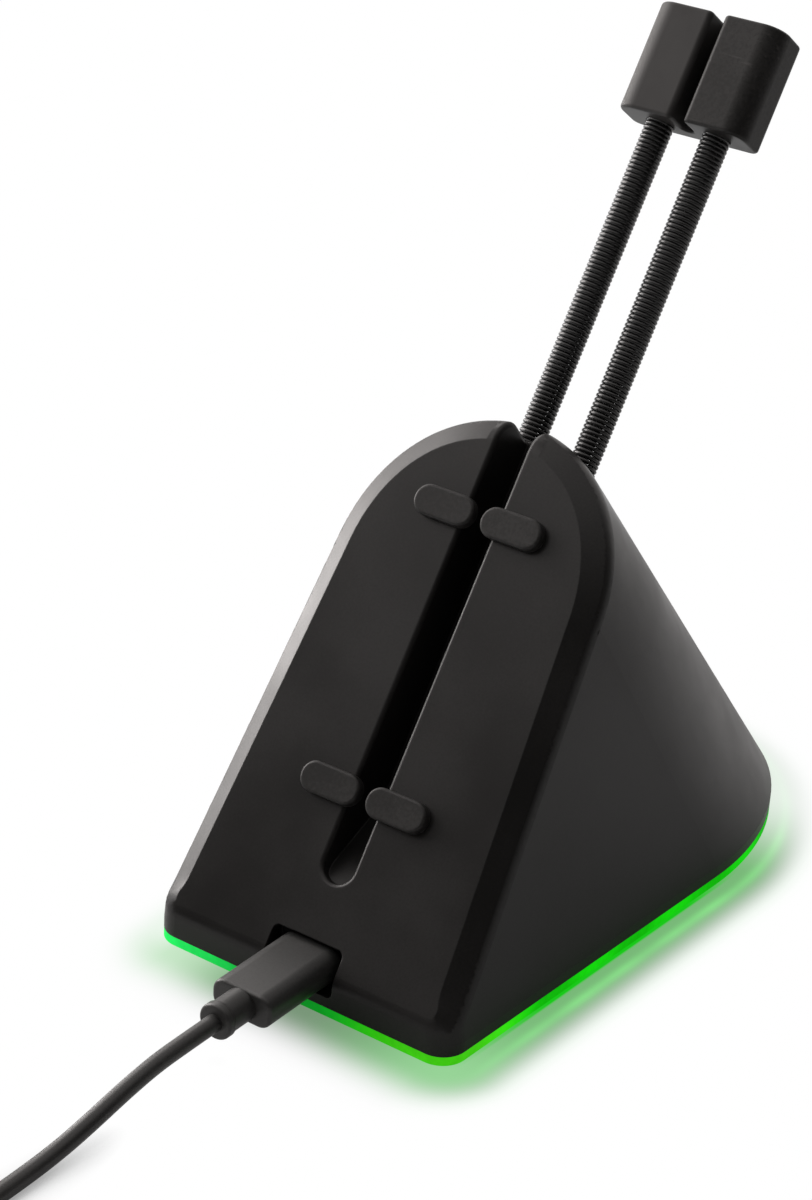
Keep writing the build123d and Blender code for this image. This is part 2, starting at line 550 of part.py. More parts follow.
# Cord from the strain relief down to the desk and on to the coil
cord_radius = CORD_DIAMETER / 2
CORD_ROUTE = [
    (0.0, relief_near, PLUG_HEIGHT),
    (0.0, -94.7, PLUG_HEIGHT),
    (0.0, -102.1, 7.95),
    (-0.1, -109.7, 6.8),
    (-0.5, -116.7, 4.9),
    (-1.2, -123.6, 2.9),
    (-1.8, -132.0, 1.75),
    (-2.0, COIL_CENTRE[1] + RUN_STOP, cord_radius),
]
coil_outer = COIL_MEAN_RADIUS + COIL_COLUMNS * cord_radius
coil_inner = COIL_MEAN_RADIUS - COIL_COLUMNS * cord_radius
coil_high = COIL_LAYERS * CORD_DIAMETER
tail_x = COIL_CENTRE[0] - coil_outer + cord_radius
tail_end = COIL_CENTRE[1] + TAIL_LENGTH
far_x = tail_x - TAIL_SHIFT
far_height = FAR_PLUG_THICKNESS / 2
TAIL_ROUTE = [
    (tail_x, COIL_CENTRE[1], coil_high - cord_radius),
    (tail_x, COIL_CENTRE[1] + TAIL_LEAD, coil_high - cord_radius),
    (far_x, tail_end - TAIL_LEAD, far_height),
    (far_x, tail_end, far_height),
]


def cord_tube(name, route):
    """A round tube along straight runs joined by the largest tangent arcs."""
    points = [Vector(*p) for p in route]
    radii = []
    for before, here, after in zip(points, points[1:], points[2:]):
        turn = (here - before).get_angle(after - here)
        shorter = min((here - before).length, (after - here).length)
        radii.append(ARC_SHARE * shorter / tan(radians(turn / 2)))
    path = FilletPolyline(*points, radius=radii)
    start = Plane(origin=path @ 0, z_dir=path % 0)
    tube = sweep(start * Circle(cord_radius), path)
    print(name, "radii", [round(r, 1) for r in radii], "length", round(path.length, 1),
          "volume", round(tube.volume / (pi * cord_radius**2 * path.length), 4))
    return tube


coil_ring = Circle(coil_outer) - Circle(coil_inner)
cord_coil = slab(Pos(*COIL_CENTRE) * coil_ring, 0, coil_high)
tie_place = Pos(*COIL_CENTRE) * Rot(0, 0, TIE_ANGLE)
tie_place *= Pos(COIL_MEAN_RADIUS, 0, coil_high / 2 + TIE_THICKNESS / 2)
bundle = coil_outer - coil_inner
cord_tie = Box(bundle + 2 * (TIE_THICKNESS + TIE_SLACK), TIE_WIDTH, coil_high + TIE_THICKNESS)
cord_tie -= Box(bundle + 2 * TIE_SLACK, 2 * TIE_WIDTH, coil_high - TIE_THICKNESS)
cord_tie = tie_place * fillet(cord_tie.edges().filter_by(Axis.Y).group_by(Axis.X)[-1], TIE_THICKNESS)
cord_coil -= cord_tie
cord_run = cord_tube("cord_run", CORD_ROUTE) - cord_coil
cord_tail = cord_tube("cord_tail", TAIL_ROUTE) - cord_coil

# Far plug on the desk beside the coil
far_relief = tail_end + FAR_RELIEF_LENGTH
far_end = far_relief + FAR_PLUG_LENGTH
far_place = Pos(far_x, 0, far_height)
far_body = RectangleRounded(FAR_PLUG_WIDTH, FAR_PLUG_THICKNESS, FAR_PLUG_CORNER)
far_plug_overmold = along_y(far_body, far_relief, far_end)
far_plug_overmold = fillet(far_plug_overmold.faces().sort_by(Axis.Y)[0].edges(), FAR_PLUG_EDGE)
far_sleeve = Cone(FAR_RELIEF_ENDS[0] / 2, FAR_RELIEF_ENDS[1] / 2, FAR_RELIEF_LENGTH)
far_plug_overmold += Pos(0, (tail_end + far_relief) / 2, 0) * Rot(-90, 0, 0) * far_sleeve
far_plug_overmold = far_place * far_plug_overmold
far_outer = Rectangle(FAR_SHELL_WIDTH, FAR_SHELL_THICKNESS)
far_hole = Rectangle(FAR_SHELL_WIDTH - 2 * FAR_SHELL_SHEET, FAR_SHELL_THICKNESS - 2 * FAR_SHELL_SHEET)
far_plug_shell = along_y(far_outer - far_hole, far_end, far_end + FAR_SHELL_LENGTH)
for x in (-FAR_WINDOW_SPACING / 2, FAR_WINDOW_SPACING / 2):
    far_plug_shell -= Pos(x, far_end + FAR_WINDOW_PLACE, 0) * Box(FAR_WINDOW_WIDTH, FAR_WINDOW_LENGTH, BIG)
far_plug_shell = far_place * far_plug_shell
far_inside = FAR_SHELL_THICKNESS / 2 - FAR_SHELL_SHEET
far_plug_tongue = Pos(0, -far_inside + FAR_TONGUE_THICKNESS / 2) * Rectangle(
    FAR_SHELL_WIDTH - 2 * FAR_SHELL_SHEET, FAR_TONGUE_THICKNESS)
far_tongue_end = far_end + FAR_SHELL_LENGTH - FAR_SHELL_SHEET
far_plug_tongue = far_place * along_y(far_plug_tongue, far_end, far_tongue_end)
contact_y = far_tongue_end - FAR_CONTACT_WIDTH - FAR_CONTACT_LENGTH / 2
contact_z = -far_inside + FAR_TONGUE_THICKNESS + FAR_CONTACT_THICKNESS / 2
contact = Box(FAR_CONTACT_WIDTH, FAR_CONTACT_LENGTH, FAR_CONTACT_THICKNESS)
contact_places = [(number - (FAR_CONTACT_COUNT - 1) / 2) * FAR_CONTACT_SPACING
                  for number in range(FAR_CONTACT_COUNT)]
far_plug_contacts = Compound([far_place * Pos(x, contact_y, contact_z) * contact for x in contact_places])

PIECES = {
    "upper_shell": upper_shell,
    "base_plate": base_plate,
    "light_ring": light_ring,
    "foot_pad": foot_pad,
    "base_weight": base_weight,
    "led_board": led_board,
    "leds": leds,
    "usb_board": usb_board,
    "usb_socket": usb_socket,
    "socket_tongue": socket_tongue,
    "controller_chip": controller_chip,
    "spring_anchor": spring_anchor,
    "case_screws": case_screws,
    "board_screws": board_screws,
    "weight_screws": weight_screws,
    "anchor_screws": anchor_screws,
    "cable_head": cable_head,
    "plug_overmold": plug_overmold,
    "plug_shell": plug_shell,
    "strain_relief": strain_relief,
    "cord_run": cord_run,
    "cord_coil": cord_coil,
    "cord_tail": cord_tail,
    "cord_tie": cord_tie,
    "far_plug_overmold": far_plug_overmold,
    "far_plug_shell": far_plug_shell,
    "far_plug_tongue": far_plug_tongue,
    "far_plug_contacts": far_plug_contacts,
}
for side, x in spring_places.items():
    PIECES[side + "_spring"] = ARM * Pos(x, SPRING_DEPTH, 0) * spring_solid
for level, up in CLIP_PLACES.items():
    PIECES[level + "_left_clip"] = clip(-1, up)
    PIECES[level + "_right_clip"] = clip(1, up)

os.makedirs("parts", exist_ok=True)
for name, piece in PIECES.items():
    export_step(piece, f"parts/{name}.step")
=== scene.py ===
import json
from math import acos, cos, exp, pi, radians, sin

import bmesh
import bpy
from mathutils import Matrix, Vector


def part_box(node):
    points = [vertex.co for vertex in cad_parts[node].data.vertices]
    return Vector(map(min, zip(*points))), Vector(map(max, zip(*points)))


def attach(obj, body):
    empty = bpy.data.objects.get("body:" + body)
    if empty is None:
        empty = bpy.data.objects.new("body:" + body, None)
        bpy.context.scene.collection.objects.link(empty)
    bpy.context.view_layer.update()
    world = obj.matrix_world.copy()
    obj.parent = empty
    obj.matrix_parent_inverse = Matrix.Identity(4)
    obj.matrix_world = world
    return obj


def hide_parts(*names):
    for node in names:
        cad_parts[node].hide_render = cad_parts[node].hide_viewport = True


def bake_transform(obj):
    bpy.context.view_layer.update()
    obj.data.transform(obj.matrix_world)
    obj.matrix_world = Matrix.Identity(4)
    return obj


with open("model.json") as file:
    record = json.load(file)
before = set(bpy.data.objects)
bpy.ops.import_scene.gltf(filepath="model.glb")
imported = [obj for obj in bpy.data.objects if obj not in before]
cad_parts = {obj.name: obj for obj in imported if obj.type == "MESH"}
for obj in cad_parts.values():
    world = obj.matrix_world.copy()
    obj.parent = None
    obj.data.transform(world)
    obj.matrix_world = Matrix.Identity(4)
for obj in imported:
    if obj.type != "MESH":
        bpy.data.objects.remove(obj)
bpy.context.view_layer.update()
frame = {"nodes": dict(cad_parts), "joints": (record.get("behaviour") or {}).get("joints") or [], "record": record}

nodes = frame["nodes"]
joints = {joint["name"]: joint for joint in frame["joints"]}
MM = 0.001
TO_RIGHT = Vector((1, 0, 0))
WHITE = (1.0, 1.0, 1.0)

# Plastic and rubber: strength of the grain, scale of the blotches, and the look of edges, rubbed and paler with a
# painted highlight
GRAIN_STRENGTH = 0.35
BLOTCH_SCALE = 40.0
EDGE_ROUND = 0.3 * MM
EDGE_WEAR_AND_HIGHLIGHT_PALER = 1.6
EDGE_SMOOTHER = 0.1

# Rubber: scales of its patterns, how much paler its marks and edges are (the edges partly a painted highlight),
# how much paler and rougher a painted sheen makes the head's left half, and where that half is
RUBBER_BLOTCH, RUBBER_SPECKLE, RUBBER_LINES = 60, 1500, 900
RUBBER_EDGE = 0.4 * MM
MARKS_AND_EDGE_HIGHLIGHT_PALER = 2.0
LEFT_SHEEN_PALER, LEFT_SHEEN_ROUGHER = 1.6, 0.06
HEAD_HEIGHTS = 104 * MM, 108 * MM
LEFT_HALF = 0.5 * MM, -1.5 * MM

# Light ring: its colours, and the spans in which they and the light change
LEFT_HUE = (0.03, 1.35, 0.20)
RIGHT_HUE = (0.006, 0.60, 0.003)
CORNER_HUE = (0.065, 0.72, 0.008)
HUE_SPAN = -34 * MM, 20 * MM
CORNER_SPAN = 4 * MM, 26 * MM
LIGHT_SPAN = 4 * MM, 17 * MM
LIGHTS_APART = 8 * MM
RING_POWER = 0.75, 1.1
DIM_MIDDLE = -4 * MM
DIM_SPAN = 8 * MM, 30 * MM
DIM_FRONT = -64 * MM, -58 * MM
DIM_SHARE = 0.6

# Spring arms: wound wire, its pitch, the free length from shell to head, and its share below arm_nod
WIRE_RADIUS = 0.40 * MM
WIRE_PITCH = 0.83 * MM
TURN_STEPS = 24
WIRE_SIDES = 10

# Shell: the round of the rim, the part of its turn shown as a flat bevel, and what counts as on the round
RIM_ROUND = 4.2 * MM
BEVEL_TURN = radians(58)
FLAT_FACE = 0.9998
OFF_ROUND = 0.12
ROUND_BY_SLOT = 5 * MM
TOE_FROM, TOE_OVER = 0.25, 0.3

# Lead: cord size, the route to the coil, the coil itself and the tail from its left side, in millimetres
CORD_RADIUS = 1.6 * MM
TO_COIL = (
    (0.0, -87.35, 8.05),
    (0.0, -94.7, 8.05),
    (0.0, -102.1, 7.95),
    (-0.1, -109.7, 6.8),
    (-0.5, -116.7, 4.9),
    (-1.2, -123.6, 2.9),
    (-1.8, -132.0, 1.75),
    (-2.0, -147.0, 1.6),
)
COIL_CENTRE = (-27.4, -158.0)
COIL_RADII = (25.4, 22.2, 19.0, 15.8, 12.6)
COIL_STEPS = 20
ON_DESK, ONE_CORD_UP = 1.6, 3.2
NARROW_FROM, CLIMB_FROM, CHANGE_OVER = 0.5, 0.1, 0.3
FROM_COIL = ((0.0, 5.5, 4.8), (-2.0, 13.5, 3.8), (-2.0, 19.0, 3.8))

# Floor: rings of vertices by their millimetres from the lit ring, colour, close shade, and level in gloss
FLOOR_RINGS = (
    -4, 0, 0.4, 0.8, 1.2, 1.6, 2, 2.4, 2.8, 3.2, 3.8, 4.4, 5, 5.6, 6.2, 7, 8, 9, 10, 11.5, 13, 15, 18,
    23, 32, 60, 250, 700, 2500,
)
FLOOR_STEP = 3 * MM
FLOOR_HEIGHT = -0.05 * MM
FLOOR_GREY = 0.62
FLOOR_SHADE = 5 * MM
GLOSS_SPAN = -38 * MM, -80 * MM
GLOSS_LEVELS = 0.25, 1.0

# Floor glow, a painted pool of green light and painted shade round the lit ring: its reach in millimetres and its
# sharpness, with what each side adds
FRONT_CORNER = Vector((31.0, -65.0)) * MM
GLOW_REACH, FRONT_REACH, RIGHT_REACH, LEFT_REACH = 6.4, 2.1, 1.7, -1.4
GREEN_REACH = 1.03
GLOW_POWER, RIGHT_POWER, RIGHT_GREEN_POWER = 2.65, 1.2, 1.5

# Floor glow: the depth of its painted shade in grey and of its painted green light, with what the corner, the
# front middle and the left change
GREY_DEPTH, GREY_CORNER, GREY_LEFT = 0.81, 0.12, 0.48
GREEN_DEPTH, GREEN_MIDDLE, GREEN_CORNER, GREEN_LEFT = 0.52, 0.18, 0.18, 0.64
CORNER_SIZE, MIDDLE_SIZE = 14 * MM, 17 * MM
LEFT_FROM, LEFT_OVER = -8 * MM, 20 * MM
LEFT_FADE, BACK_FADE, BACK_FROM, BACK_OVER = 0.6, 0.75, 86, 32

# Floor glow: the painted bright streak of green light at the right, and the ring's painted mirror image right
# beside it, in millimetres
STREAK_AT, STREAK_WIDTH, STREAK_GREEN, STREAK_GREY = 3.2, 1.0, 0.24, 0.04
MIRROR_WIDTH, MIRROR_SOFT, MIRROR_GREEN, MIRROR_GREY = 0.45, 0.4, 0.58, 0.01
MIRROR_START, MIRROR_END, MIRROR_END_OVER = 30, 90, 20
LIT_WIDTH, LIT_SOFT = 3, 8

# World: its tint, the directions in which it is darker and its level there, and its level as a light
WARM = (1.0, 0.955, 0.935)
SHADE_WAYS = (((0.75, -0.55, 0.38), 0.42), ((0.93, 0.28, 0.2), 0.15))
SHADE_SPAN = 0.55, 0.92
FRONT_SPAN = 0.1, -0.45
LOW_SPAN = 0.95, 0.5
LOW_FRONT_DIM = 0.9
WORLD_LEVEL = 0.6

# Lamps: name, place, point that it looks at, width and height in metres, and watts
LAMPS = (
    ("top_light", (-0.72, 0.37, 0.62), (0, 0, 0.05), (0.6, 0.6), 2.8),
    ("front_left_light", (-0.5, -0.52, 0.78), (0, 0, 0.08), (0.5, 0.5), 1.0),
    ("left_light", (-0.85, -0.15, 0.38), (0, 0, 0.08), (0.66, 0.68), 9.5),
    ("low_left_light", (-0.88, 0.12, 0.07), (0, 0, 0.05), (0.6, 0.14), 2.2),
)

# Camera: the photograph's viewing place and direction, with its slight roll
EYE = Vector((0.2612, -0.4182, 0.2996))
AHEAD = Vector((-0.50664211, 0.73511565, -0.45046503))
ROLL = radians(3.30)
LENS, SENSOR_WIDTH, CLIP_START = 93.0, 36.0, 0.01


def ease(share):
    """A smooth step from 0 to 1."""
    share = min(max(share, 0.0), 1.0)
    return share * share * (3 - 2 * share)


class Nodes:
    """A node tree, emptied, with short calls for its patterns."""

    def __init__(self, tree):
        self.tree = tree
        self.tree.nodes.clear()

    def add(self, kind, **settings):
        node = self.tree.nodes.new(kind)
        for key, value in settings.items():
            setattr(node, key, value)
        return node

    def join(self, output, socket):
        self.tree.links.new(output, socket)

    def span(self, value, low, high, first, last):
        """A smooth change from first to last as a value goes from low to high."""
        node = self.add("ShaderNodeMapRange", interpolation_type="SMOOTHSTEP")
        for socket, number in zip(node.inputs[1:5], (low, high, first, last)):
            socket.default_value = number
        self.join(value, node.inputs[0])
        return node.outputs[0]

    def math(self, operation, first, second=None):
        node = self.add("ShaderNodeMath", operation=operation)
        for socket, value in zip(node.inputs, (first, second)):
            if value is None:
                continue
            if isinstance(value, (int, float)):
                socket.default_value = value
            else:
                self.join(value, socket)
        return node.outputs[0]

    def mix(self, share, first, second):
        """A mix of two colours, each of them numbers or an output."""
        node = self.add("ShaderNodeMix", data_type="RGBA")
        self.join(share, node.inputs[0])
        for socket, value in zip((node.inputs[6], node.inputs[7]), (first, second)):
            if isinstance(value, tuple):
                socket.default_value = (*value, 1)
            else:
                self.join(value, socket)
        return node.outputs[2]

    def dot(self, first, second):
        """The dot product of two vectors; the second may be numbers."""
        node = self.add("ShaderNodeVectorMath", operation="DOT_PRODUCT")
        self.join(first, node.inputs[0])
        if isinstance(second, tuple):
            node.inputs[1].default_value = second
        else:
            self.join(second, node.inputs[1])
        return node.outputs["Value"]

    def axes(self, vector):
        """The outputs X, Y and Z of a vector."""
        node = self.add("ShaderNodeSeparateXYZ")
        self.join(vector, node.inputs[0])
        return node.outputs


class Paint(Nodes):
    """A node material with one principled shader."""

    def __init__(self, name):
        self.mat = bpy.data.materials.new(name)
        self.mat.use_nodes = True
        super().__init__(self.mat.node_tree)
        self.shader = self.add("ShaderNodeBsdfPrincipled")
        self.out = self.add("ShaderNodeOutputMaterial")
        self.join(self.shader.outputs[0], self.out.inputs[0])
        self.where = self.add("ShaderNodeTexCoord").outputs["Object"]

    def set(self, **values):
        """Constant values on the shader's own sockets."""
        for key, value in values.items():
            self.shader.inputs[key.replace("_", " ")].default_value = value

    def paint(self, socket, value):
        self.join(value, self.shader.inputs[socket])

    def noise(self, scale, detail=2.0, rough=0.5, stretch=None):
        node = self.add("ShaderNodeTexNoise")
        node.inputs["Scale"].default_value = scale
        node.inputs["Detail"].default_value = detail
        node.inputs["Roughness"].default_value = rough
        place = self.where
        if stretch:
            mapping = self.add("ShaderNodeMapping")
            mapping.inputs["Scale"].default_value = stretch
            self.join(place, mapping.inputs["Vector"])
            place = mapping.outputs[0]
        self.join(place, node.inputs["Vector"])
        return node.outputs[0]

    def away(self, place):
        """The distance from a point."""
        node = self.add("ShaderNodeVectorMath", operation="DISTANCE")
        self.join(self.where, node.inputs[0])
        node.inputs[1].default_value = place
        return node.outputs["Value"]

    def edges(self, radius):
        """Normals rounded over edges, and a mask that is 1 on the edges."""
        bevel = self.add("ShaderNodeBevel", samples=6)
        bevel.inputs["Radius"].default_value = radius
        flat = self.add("ShaderNodeNewGeometry").outputs["Normal"]
        return bevel.outputs[0], self.span(self.dot(bevel.outputs[0], flat), 0.995, 0.86, 0, 1)

    def relief(self, height, strength, depth, under=None):
        """Bump from a height pattern, over other normals where there are any."""
        node = self.add("ShaderNodeBump")
        node.inputs["Strength"].default_value = strength
        node.inputs["Distance"].default_value = depth
        self.join(height, node.inputs["Height"])
        if under:
            self.join(under, node.inputs["Normal"])
        self.paint("Normal", node.outputs[0])


def paler(colour, times):
    return tuple(times * value for value in colour)


def moulded(name, dark, pale, rough, grain, depth, specular=0.5, edge=EDGE_ROUND):
    """Moulded plastic or rubber: fine grain, soft blotches in colour and gloss, edges rubbed smooth and paler,
    partly a painted highlight.
    """
    paint = Paint(name)
    soft = paint.noise(BLOTCH_SCALE, 3.0)
    fine = paint.noise(grain, 2.0, 0.6)
    both = paint.math("MULTIPLY", soft, fine)
    colour = paint.mix(paint.span(both, 0.12, 0.4, 0, 1), dark, pale)
    gloss = paint.span(soft, 0.3, 0.7, rough - 0.05, rough + 0.06)
    under = None
    if edge:
        under, worn_and_highlit = paint.edges(edge)
        # Edges paler: partly rubbed wear, partly a painted highlight along them
        colour = paint.mix(worn_and_highlit, colour, paler(pale, EDGE_WEAR_AND_HIGHLIGHT_PALER))
        gloss = paint.math("SUBTRACT", gloss, paint.math("MULTIPLY", worn_and_highlit, EDGE_SMOOTHER))
    paint.paint("Base Color", colour)
    paint.paint("Roughness", gloss)
    paint.set(Specular_IOR_Level=specular)
    paint.relief(fine, GRAIN_STRENGTH, depth, under)
    return paint


def metal(name, dark, pale, rough, stretch):
    """Plated or brushed metal: fine lines one way, and faint cloudy marks."""
    paint = Paint(name)
    lines = paint.noise(900.0, 3.0, 0.6, stretch)
    cloud = paint.noise(120.0, 3.0)
    paint.paint("Base Color", paint.mix(paint.span(cloud, 0.3, 0.7, 0, 1), dark, pale))
    paint.paint("Roughness", paint.span(lines, 0.3, 0.7, rough - 0.08, rough + 0.1))
    paint.set(Metallic=1.0)
    paint.relief(lines, 0.25, 0.01 * MM, paint.edges(0.1 * MM)[0])
    return paint


def rubber(name, dark, pale):
    """Soft rubber: speckle, faint mould lines across, rubbed edges made paler with a painted highlight, and a
    painted sheen that makes the head's left half paler.
    """
    paint = Paint(name)
    soft = paint.noise(RUBBER_BLOTCH, 3.0)
    fine = paint.noise(RUBBER_SPECKLE, 3.0, 0.65)
    lines = paint.noise(RUBBER_LINES, 2.0, 0.6, (0.1, 1, 1))
    colour = paint.mix(paint.span(paint.math("MULTIPLY", soft, fine), 0.14, 0.38, 0, 1), dark, pale)
    in_lines = paint.span(lines, 0.6, 0.72, 0, 1)
    marks = paint.math("MULTIPLY", in_lines, paint.span(soft, 0.45, 0.6, 0, 0.6))
    colour = paint.mix(marks, colour, paler(pale, MARKS_AND_EDGE_HIGHLIGHT_PALER))
    place = paint.axes(paint.where)
    on_head = paint.span(place["Z"], *HEAD_HEIGHTS, 0, 1)
    on_left = paint.math("MULTIPLY", on_head, paint.span(place["X"], *LEFT_HALF, 0, 1))
    # Painted sheen: the head's left half made paler and rougher, as if lit from the left
    left_sheen = paint.math("MULTIPLY", on_left, paint.span(soft, 0.3, 0.6, 0.6, 1.0))
    colour = paint.mix(left_sheen, colour, paler(pale, LEFT_SHEEN_PALER))
    under, worn_and_highlit = paint.edges(RUBBER_EDGE)
    # Edges paler: partly rubbed wear, partly a painted highlight along them
    colour = paint.mix(worn_and_highlit, colour, paler(pale, MARKS_AND_EDGE_HIGHLIGHT_PALER))
    rougher = paint.math("MULTIPLY", left_sheen, LEFT_SHEEN_ROUGHER)
    gloss = paint.math("ADD", paint.span(soft, 0.3, 0.7, 0.38, 0.47), rougher)
    paint.paint("Base Color", colour)
    paint.paint("Roughness", paint.math("SUBTRACT", gloss, paint.math("MULTIPLY", worn_and_highlit, EDGE_SMOOTHER)))
    paint.set(Specular_IOR_Level=0.2)
    paint.relief(fine, GRAIN_STRENGTH, 0.03 * MM, under)
    return paint


# Materials by the record's slots
looks = {
    "shell": moulded("soft_touch_shell", (0.0105, 0.0101, 0.0098), (0.0150, 0.0144, 0.0140), 0.33, 2600,
                     0.006 * MM, specular=0.25),
    "under": moulded("plain_base", (0.012, 0.012, 0.012), (0.02, 0.02, 0.02), 0.55, 900, 0.03 * MM),
    "foot": moulded("foot_sheet", (0.018, 0.018, 0.018), (0.035, 0.035, 0.034), 0.8, 1500, 0.08 * MM),
    "weight": metal("zinc_plate", (0.36, 0.36, 0.37), (0.52, 0.52, 0.5), 0.42, (1, 6, 1)),
    "board": moulded("board_mask", (0.006, 0.045, 0.02), (0.012, 0.08, 0.035), 0.35, 700, 0.02 * MM),
    "led": moulded("light_case", (0.75, 0.74, 0.66), (0.9, 0.9, 0.82), 0.3, 1500, 0.01 * MM),
    "socket": metal("stamped_steel", (0.5, 0.5, 0.5), (0.66, 0.66, 0.65), 0.3, (1, 12, 1)),
    "insulator": moulded("insulator", (0.014, 0.014, 0.014), (0.025, 0.025, 0.025), 0.45, 1500, 0.01 * MM),
    "anchor": moulded("filled_block", (0.02, 0.02, 0.02), (0.04, 0.04, 0.038), 0.6, 1300, 0.03 * MM),
    "screw": metal("zinc_screw", (0.42, 0.42, 0.42), (0.58, 0.58, 0.56), 0.35, (8, 8, 1)),
    "contact": metal("gold_strip", (0.7, 0.46, 0.16), (0.85, 0.6, 0.25), 0.28, (1, 10, 1)),
    "spring": moulded("coated_wire", (0.008, 0.008, 0.008), (0.014, 0.014, 0.014), 0.22, 2500,
                      0.004 * MM, specular=0.52, edge=None),
    "clip": rubber("soft_rubber", (0.0155, 0.0151, 0.0146), (0.0280, 0.0272, 0.0266)),
    "lead": moulded("cable_jacket", (0.0200, 0.0200, 0.0194), (0.0300, 0.0300, 0.0291), 0.38, 2400,
                    0.004 * MM, specular=0.45),
    "tie": moulded("tie_strip", (0.012, 0.012, 0.012), (0.03, 0.03, 0.03), 0.7, 1100, 0.15 * MM),
}


def light_places(mesh):
    """The middles of the lights in a mesh. A light's case and dome lie close together and count as one."""
    bm = bmesh.new()
    bm.from_mesh(mesh)
    unseen = dict.fromkeys(bm.verts)
    places = []
    while unseen:
        group, waiting = [], [next(iter(unseen))]
        while waiting:
            vert = waiting.pop()
            if vert in unseen:
                del unseen[vert]
                group.append(vert)
                waiting += [edge.other_vert(vert) for edge in vert.link_edges]
        middle = sum((vert.co for vert in group), Vector()) / len(group)
        if all((middle - other).length > LIGHTS_APART for other in places):
            places.append(middle)
    bm.free()
    return places


def lit_guide(name):
    """Frosted light guide: brighter in front of each light behind it, and dim in the front middle, a painted shade
    by the plug.
    """
    ring = Paint(name)
    total = None
    for place in light_places(nodes["leds"].data):
        glow = ring.span(ring.away(place), *LIGHT_SPAN, 1, 0)
        glow = ring.math("MULTIPLY", glow, glow)
        total = glow if total is None else ring.math("ADD", total, glow)
    frost = ring.noise(700, 3.0, 0.6)
    place = ring.axes(ring.where)
    hue = ring.mix(ring.span(place["X"], *HUE_SPAN, 0, 1), LEFT_HUE, RIGHT_HUE)
    corner_share = ring.span(ring.away((*FRONT_CORNER, 0)), *CORNER_SPAN, 1, 0)
    ring.paint("Emission Color", ring.mix(corner_share, hue, CORNER_HUE))
    # Painted shade: the ring made dimmer in the front middle, by the plug
    off_middle = ring.math("ABSOLUTE", ring.math("ADD", place["X"], -DIM_MIDDLE))
    in_front = ring.span(place["Y"], *DIM_FRONT, 1, 0)
    dim = ring.math("MULTIPLY", ring.span(off_middle, *DIM_SPAN, DIM_SHARE, 0), in_front)
    uneven = ring.span(frost, 0.3, 0.7, -0.05, 0.05)
    power = ring.math("ADD", ring.span(total, 0, 1, *RING_POWER), uneven)
    ring.paint("Emission Strength", ring.math("MULTIPLY", power, ring.math("SUBTRACT", 1.0, dim)))
    ring.paint("Base Color", ring.mix(frost, (0.001, 0.05, 0.002), (0.002, 0.07, 0.003)))
    ring.set(Roughness=0.5, Specular_IOR_Level=0.02)
    ring.relief(frost, 0.2, 0.02 * MM, ring.edges(0.2 * MM)[0])
    return ring


looks["light"] = lit_guide("frosted_light_guide")
for item in frame["record"]["subparts"]:
    for material_slot in nodes[item["node"]].material_slots:
        material_slot.material = looks[item["material_slot"]].mat


def piece(name, mesh, slot):
    """A new object for a mesh, with its slot's material."""
    made = bpy.data.objects.new(name, mesh)
    bpy.context.scene.collection.objects.link(made)
    made.data.materials.append(looks[slot].mat)
    return made


# Directions and places of the arms, which stand along the sloping face
nod = Vector(joints["arm_nod"]["pos_m"])
sway = Vector(joints["head_sway"]["pos_m"])
up_arm = (sway - nod).normalized()
half_way = (nod + sway) / 2
out_arm = TO_RIGHT.cross(up_arm)


def key_of(spot):
    """A vertex's place to a thousandth of a millimetre, to tell which vertices lie on each other."""
    return tuple(round(value, 6) for value in spot)


def flatten_rim(mesh):
    """Flattens the first part of the round along the face's rim to a bevel, except round the toe."""
    face_level = max(vert.co.dot(out_arm) for vert in mesh.vertices)
    normals = [Vector(corner.vector) for corner in mesh.corner_normals]
    flat_lift = cos(BEVEL_TURN / 2)
    sides, flattened = {}, []
    for polygon in mesh.polygons:
        way = sum((normals[loop] for loop in polygon.loop_indices), Vector()).normalized()
        lift = way.dot(out_arm)
        if not cos(BEVEL_TURN) < lift < FLAT_FACE:
            continue
        corners = []
        for loop in polygon.loop_indices:
            spot = mesh.vertices[mesh.loops[loop].vertex_index].co
            expected = 1 - (face_level - spot.dot(out_arm)) / RIM_ROUND
            if abs(spot.x) > ROUND_BY_SLOT and abs(normals[loop].dot(out_arm) - expected) < OFF_ROUND:
                corners.append((loop, key_of(spot), expected))
        if len(corners) == len(polygon.loop_indices):
            flattened += corners
            for _, key, _ in corners:
                sides[key] = sides.get(key, Vector()) + (way - out_arm * lift).normalized()
    moves = {}
    for loop, key, lift in flattened:
        turned = acos(min(max(lift, -1), 1))
        side = sides[key].normalized()
        flat_way = out_arm * flat_lift + side * sin(BEVEL_TURN / 2)
        share = 1 - ease((-side.dot(up_arm) - TOE_FROM) / TOE_OVER)
        normals[loop] = normals[loop].lerp(flat_way, share).normalized()
        if turned < BEVEL_TURN:
            moves[key] = flat_way * (flat_lift - cos(turned - BEVEL_TURN / 2)) * RIM_ROUND * share
    for vert in mesh.vertices:
        vert.co += moves.get(key_of(vert.co), Vector())
    mesh.normals_split_custom_set([tuple(normal) for normal in normals])


# Shell: a copy of the CAD mesh with the bevel that the photo shows
shell_mesh = nodes["upper_shell"].data.copy()
shell_mesh.materials.clear()
flatten_rim(shell_mesh)
shell = piece("upper_shell_bevelled", shell_mesh, "shell")
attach(shell, "base")
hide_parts("upper_shell")


